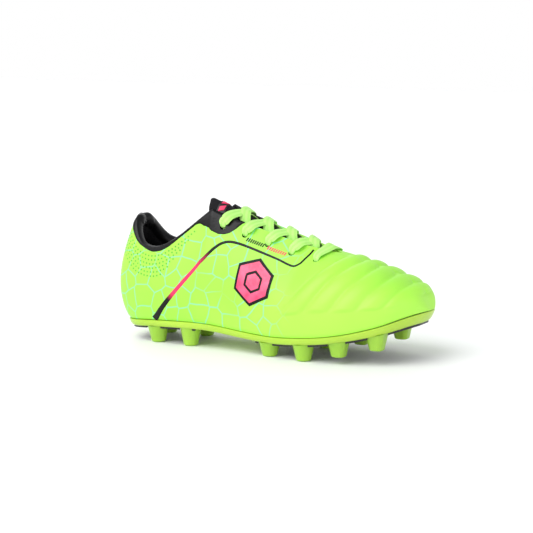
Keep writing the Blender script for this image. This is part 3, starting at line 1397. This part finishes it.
def instances(name, places, normals, tangents, shape, scale, made):
    """Copies of a small shape at places on the upper, made by Geometry Nodes and realised."""
    mesh = bpy.data.meshes.new(name)
    mesh.from_pydata(((np.asarray(places) - SHIFT) * MM).tolist(), [], [])
    for key, values in (("normal_dir", normals), ("tangent_dir", tangents)):
        layer = mesh.attributes.new(key, "FLOAT_VECTOR", "POINT")
        layer.data.foreach_set("vector", np.asarray(values, np.float32).ravel())
    holder = bpy.data.objects.new(name, mesh)
    bpy.context.collection.objects.link(holder)
    tree = bpy.data.node_groups.new(name + " layout", "GeometryNodeTree")
    tree.interface.new_socket("Geometry", in_out="INPUT", socket_type="NodeSocketGeometry")
    size = tree.interface.new_socket("Size", in_out="INPUT", socket_type="NodeSocketVector")
    tree.interface.new_socket("Geometry", in_out="OUTPUT", socket_type="NodeSocketGeometry")
    source, end = add(tree, "NodeGroupInput"), add(tree, "NodeGroupOutput")
    read = {"data_type": "FLOAT_VECTOR"}
    normal = add(tree, "GeometryNodeInputNamedAttribute", read | {"Name": "normal_dir"})
    tangent = add(tree, "GeometryNodeInputNamedAttribute", read | {"Name": "tangent_dir"})
    first = add(tree, "FunctionNodeAlignRotationToVector", {"axis": "Z"})
    tree.links.new(normal.outputs["Attribute"], first.inputs["Vector"])
    second = add(tree, "FunctionNodeAlignRotationToVector", {"axis": "X", "pivot_axis": "Z"})
    tree.links.new(first.outputs["Rotation"], second.inputs["Rotation"])
    tree.links.new(tangent.outputs["Attribute"], second.inputs["Vector"])
    small = add(tree, *shape)
    spread = add(tree, "GeometryNodeInstanceOnPoints", None, Points=source.outputs["Geometry"])
    tree.links.new(small.outputs["Mesh"], spread.inputs["Instance"])
    tree.links.new(second.outputs["Rotation"], spread.inputs["Rotation"])
    tree.links.new(source.outputs["Size"], spread.inputs["Scale"])
    real = add(tree, "GeometryNodeRealizeInstances", None, Geometry=spread.outputs["Instances"])
    painted = add(tree, "GeometryNodeSetMaterial", {"Material": made}, Geometry=real.outputs["Geometry"])
    tree.links.new(painted.outputs["Geometry"], end.inputs["Geometry"])
    mod = holder.modifiers.new("Layout", "NODES")
    mod.node_group = tree
    mod[size.identifier] = scale
    apply_modifiers(holder)
    if not holder.data.materials:
        holder.data.materials.append(made)
    return holder


DOT_PITCH, DOTS_FROM = 2.7, 6.2  # between rows, and from the top edge to the first one
DOT_ROWS, DOT_SPAN = 6, (0.2, 3.65)


def build_perforations(look):
    """Pressed dots in rows under the collar, all round the heel."""
    made, shader, tree = material("pressed dots", "#66B833", 0.6)
    varied(tree, shader, ("#5CAC2E", "#6CBE38"), 12.5)
    places, normals, tangents = [], [], []
    for side in SIDES:
        for row in range(DOT_ROWS):
            u = DOT_SPAN[0] + 0.06 * (row % 2)
            while u < DOT_SPAN[1] - 0.13 * row:
                v = v_below(side, u, DOTS_FROM + DOT_PITCH * row)
                places.append(wall(side, u, v, 0.02))
                normals.append(wall_normal(side, u, v))
                tangents.append(wall(side, u + 0.02, v) - wall(side, u, v))
                step = np.linalg.norm(wall(side, u + 0.05, v) - wall(side, u, v)) / 0.05
                u += DOT_PITCH / max(step, 1)
    settings = {"Vertices": 8, "Side Segments": 1, "Radius Top": 0.7, "Radius Bottom": 1.0, "Depth": 1.0}
    shape = ("GeometryNodeMeshCone", settings)
    size = (look["dot_radius"], look["dot_radius"], 0.06 * MM)
    dots = instances("perforations", places, normals, tangents, shape, size, made)
    assign(dots, None)


TICKS, TICK_SIZE = 9, (2.7, 0.85, 0.16)


def build_ticks(look):
    """Two short rows of slanted bars beside the eyelets."""
    rows = (
        ("ticks_dark", INK, (5.33, 0.856), (5.86, 0.862)),
        ("ticks_pink", look["pink"], (6.03, 0.858), (6.6, 0.856)),
    )
    for name, color, start, end in rows:
        made, shader, tree = material(name.replace("_", " ") + " ink", color, 0.5, Specular_IOR_Level=0.25)
        grain(tree, shader, 1.11, 0.1, 0.1)
        places, normals, tangents = [], [], []
        for side in SIDES:
            for k in range(TICKS):
                u, v = (mix(a, b, k / (TICKS - 1)) for a, b in zip(start, end))
                places.append(wall(side, u, v, 0.03))
                normals.append(wall_normal(side, u, v))
                tangents.append(wall(side, u + 0.045, v + 0.06) - wall(side, u, v))
        shape = ("GeometryNodeMeshCube", {"Size": (1.0, 1.0, 1.0)})
        bars = instances(name, places, normals, tangents, shape, [side * MM for side in TICK_SIZE], made)
        assign(bars, None)


# ---- Stage --------------------------------------------------------------------------------------

KEY_POWER, TOE_POWER, EDGE_POWER = 2.2, 1.0, 3.0  # watts per square metre for the sun, else watts
FLOOR_HALF, FLOOR_Z = 3, -0.0002  # metres; the floor lies just under the studs' tips


def camera_frame():
    """The camera's own axes: back from the target, right and up."""
    back = np.array([
        math.sin(CAMERA_AZIMUTH) * math.cos(CAMERA_HEIGHT),
        -math.cos(CAMERA_AZIMUTH) * math.cos(CAMERA_HEIGHT), math.sin(CAMERA_HEIGHT),
    ])
    right = np.array([math.cos(CAMERA_AZIMUTH), math.sin(CAMERA_AZIMUTH), 0])
    return back, right, np.cross(back, right)


def build_camera():
    back, right, up = camera_frame()
    at = CAMERA_TARGET + back * CAMERA_DISTANCE - right * CAMERA_ASIDE + up * CAMERA_UP
    data = bpy.data.cameras.new("Camera")
    data.lens, data.sensor_width, data.shift_y = LENS, SENSOR, CAMERA_SHIFT
    data.dof.use_dof = False
    camera = bpy.data.objects.new("Camera", data)
    bpy.context.collection.objects.link(camera)
    turn = Matrix((right, up, back)).transposed().to_4x4()
    camera.matrix_world = Matrix.Translation(Vector((at - SHIFT) * MM)) @ turn
    bpy.context.scene.camera = camera


def area_light(name, place, aim, size, power):
    """A round lamp at a place, aimed at another."""
    data = bpy.data.lights.new(name, "AREA")
    data.shape, data.size, data.energy = "DISK", size, power
    light = bpy.data.objects.new(name, data)
    bpy.context.collection.objects.link(light)
    place, aim = Vector(place), Vector(aim)
    turn = (aim - place).to_track_quat("-Z", "Y").to_matrix().to_4x4()
    light.matrix_world = Matrix.Translation(place) @ turn
    return light


def sun_light(name, place, spread, power):
    """A distant lamp shining from a place towards the origin, softened by its spread in degrees."""
    data = bpy.data.lights.new(name, "SUN")
    data.angle, data.energy = math.radians(spread), power
    light = bpy.data.objects.new(name, data)
    bpy.context.collection.objects.link(light)
    light.matrix_world = (-Vector(place)).to_track_quat("-Z", "Y").to_matrix().to_4x4()
    return light


def build_stage(settings):
    """A pale floor, a pale sky and three soft lights."""
    made = material("pale floor", "#FFFFFF", 0.6)[0]
    mesh = bpy.data.meshes.new("floor")
    corners = ((-1, -1), (1, -1), (1, 1), (-1, 1))
    mesh.from_pydata([(x * FLOOR_HALF, y * FLOOR_HALF, FLOOR_Z) for x, y in corners], [], [(0, 1, 2, 3)])
    mesh.materials.append(made)
    floor = bpy.data.objects.new("floor", mesh)
    bpy.context.collection.objects.link(floor)
    lights = [
        sun_light("key sun", (-0.35, -0.85, 1.0), 55, KEY_POWER * settings.light_power),
        area_light("toe light", (0.9, -0.5, 0.35), (0.05, 0, 0.04), 0.6, TOE_POWER * settings.light_power),
        area_light("edge light", (-0.9, 0.9, 0.9), (0, 0, 0.04), 0.8, EDGE_POWER * settings.light_power),
    ]
    world = bpy.data.worlds.new("pale sky")
    world.use_nodes = True
    tree = world.node_tree
    sky = tree.nodes["Background"]
    way = add(tree, "ShaderNodeTexCoord").outputs["Generated"]
    height = add(tree, "ShaderNodeSeparateXYZ", None, Vector=way).outputs["Z"]
    shade = mix_color(tree, map_range(tree, height, 0.3, 0.6), "#FFFFFF", "#B4B6BA")
    tree.links.new(shade, sky.inputs["Color"])
    sky.inputs["Strength"].default_value = settings.sky_power
    bpy.context.scene.world = world
    bpy.context.scene.view_settings.view_transform = "Standard"


# ---- Add-on ---------------------------------------------------------------------------------------


def color_setting(name, description, code):
    kind = {"min": 0.0, "max": 1.0, "subtype": "COLOR", "size": 3}
    return FloatVectorProperty(name=name, description=description, default=srgb(code)[:3], **kind)


def length_setting(name, description, length):
    kind = {"min": 0.0001, "precision": 5, "subtype": "DISTANCE", "unit": "LENGTH"}
    return FloatProperty(name=name, description=description, default=length, **kind)


def hex_of(color):
    """A linear colour as an sRGB hex code."""
    parts = [12.92 * c if c <= 0.0031308 else 1.055 * c ** (1 / 2.4) - 0.055 for c in color]
    return "#" + "".join("%02X" % round(clamp(c) * 255) for c in parts)


class CleatLookSettings(bpy.types.PropertyGroup):
    """Colours of the cleat."""
    green: color_setting("Upper", "Colour of the coated upper", "#ACF04E")
    green_shade: color_setting("Upper shade", "Darker cloud in the upper's colour", "#9FE846")
    pink: color_setting("Accent", "Colour of the badges, the patch's bars and the line's pink run", "#EE3A68")
    net: color_setting("Net", "Colour of the printed net", "#86F0B4")
    lace: color_setting("Lace", "Colour of the lace's ribs", "#BDF582")
    lace_shade: color_setting("Lace shade", "Colour between the lace's ribs", "#A4EA66")


class CleatSizeSettings(bpy.types.PropertyGroup):
    """Sizes of the cleat's details."""
    lace_width: length_setting("Lace width", "Width of the flat lace between its eyelets", LACE_WIDTH * MM)
    net_cell: length_setting("Net cell", "Width of a cell of the printed net", 0.012)
    dot_radius: length_setting("Dot radius", "Radius of the pressed dots under the collar", 0.00068)


class CleatStageSettings(bpy.types.PropertyGroup):
    """Light around the cleat."""
    light_power: FloatProperty(name="Lamp power", description="Multiplies the lamps", default=1.0, min=0)
    sky_power: FloatProperty(name="Sky power", description="Strength of the pale sky", default=1.0, min=0)


def look_of(context):
    """The settings as a plain dictionary: colours as hex codes, sizes in metres."""
    colors, sizes = context.scene.cleat_look, context.scene.cleat_size
    look = {key: hex_of(getattr(colors, key)) for key in colors.__annotations__}
    look.update((key, getattr(sizes, key)) for key in sizes.__annotations__)
    return look


class CameraOperator(bpy.types.Operator):
    """Adds the camera"""
    bl_idname = "cleat.camera"
    bl_label = "Camera"

    def execute(self, context):
        build_camera()
        return {"FINISHED"}


class LaceEndsOperator(bpy.types.Operator):
    """Builds the two tucked lace ends and their aglets"""
    bl_idname = "cleat.lace_ends"
    bl_label = "Lace ends"

    def execute(self, context):
        build_lace_ends(look_of(context))
        return {"FINISHED"}


class SkinOperator(bpy.types.Operator):
    """Builds the coated upper with its padded ribs"""
    bl_idname = "cleat.skin"
    bl_label = "Upper"

    def execute(self, context):
        build_skin(look_of(context))
        return {"FINISHED"}


class InsideOperator(bpy.types.Operator):
    """Builds the lining, the stiffeners and the collar's padding and binding"""
    bl_idname = "cleat.inside"
    bl_label = "Lining and collar"

    def execute(self, context):
        build_lining()
        build_stiffeners()
        build_binding()
        return {"FINISHED"}


class TongueOperator(bpy.types.Operator):
    """Builds the padded tongue and its patch"""
    bl_idname = "cleat.tongue"
    bl_label = "Tongue"

    def execute(self, context):
        build_tongue(look_of(context))
        return {"FINISHED"}


class LaceOperator(bpy.types.Operator):
    """Builds the crossing lace"""
    bl_idname = "cleat.lace"
    bl_label = "Lace"

    def execute(self, context):
        build_lace(look_of(context))
        return {"FINISHED"}


class SoleOperator(bpy.types.Operator):
    """Builds the outsole, its inserts, the studs, the board and the sockliner"""
    bl_idname = "cleat.sole"
    bl_label = "Sole"

    def execute(self, context):
        build_plate()
        build_inserts()
        build_studs()
        build_boards()
        return {"FINISHED"}


class PrintOperator(bpy.types.Operator):
    """Adds the printed lines, the badges, the dots and the short bars"""
    bl_idname = "cleat.prints"
    bl_label = "Printed details"

    def execute(self, context):
        look = look_of(context)
        build_side_lines(look)
        build_badges(look)
        build_perforations(look)
        build_ticks(look)
        return {"FINISHED"}


class StageOperator(bpy.types.Operator):
    """Adds the floor, the lights and the sky"""
    bl_idname = "cleat.stage"
    bl_label = "Stage"

    def execute(self, context):
        build_stage(context.scene.cleat_stage)
        return {"FINISHED"}


OPERATORS = (
    CameraOperator, LaceEndsOperator, SkinOperator, InsideOperator, TongueOperator, LaceOperator,
    SoleOperator, PrintOperator, StageOperator,
)


class CleatPanel(bpy.types.Panel):
    """Lists the settings and the operators"""
    bl_idname = "VIEW3D_PT_cleat"
    bl_label = "Soccer cleat"
    bl_space_type = "VIEW_3D"
    bl_region_type = "UI"
    bl_category = "Cleat"

    def draw(self, context):
        for settings in (context.scene.cleat_look, context.scene.cleat_size, context.scene.cleat_stage):
            for key in settings.__annotations__:
                self.layout.prop(settings, key)
        for operator in OPERATORS:
            self.layout.operator(operator.bl_idname)


CLASSES = (CleatLookSettings, CleatSizeSettings, CleatStageSettings) + OPERATORS + (CleatPanel,)


def register():
    for cls in CLASSES:
        bpy.utils.register_class(cls)
    bpy.types.Scene.cleat_look = PointerProperty(type=CleatLookSettings)
    bpy.types.Scene.cleat_size = PointerProperty(type=CleatSizeSettings)
    bpy.types.Scene.cleat_stage = PointerProperty(type=CleatStageSettings)


def unregister():
    del bpy.types.Scene.cleat_stage
    del bpy.types.Scene.cleat_size
    del bpy.types.Scene.cleat_look
    for cls in reversed(CLASSES):
        bpy.utils.unregister_class(cls)


def main():
    register()
    for operator in OPERATORS:
        group, name = operator.bl_idname.split(".")
        getattr(getattr(bpy.ops, group), name)()


if __name__ == "__main__":
    main()
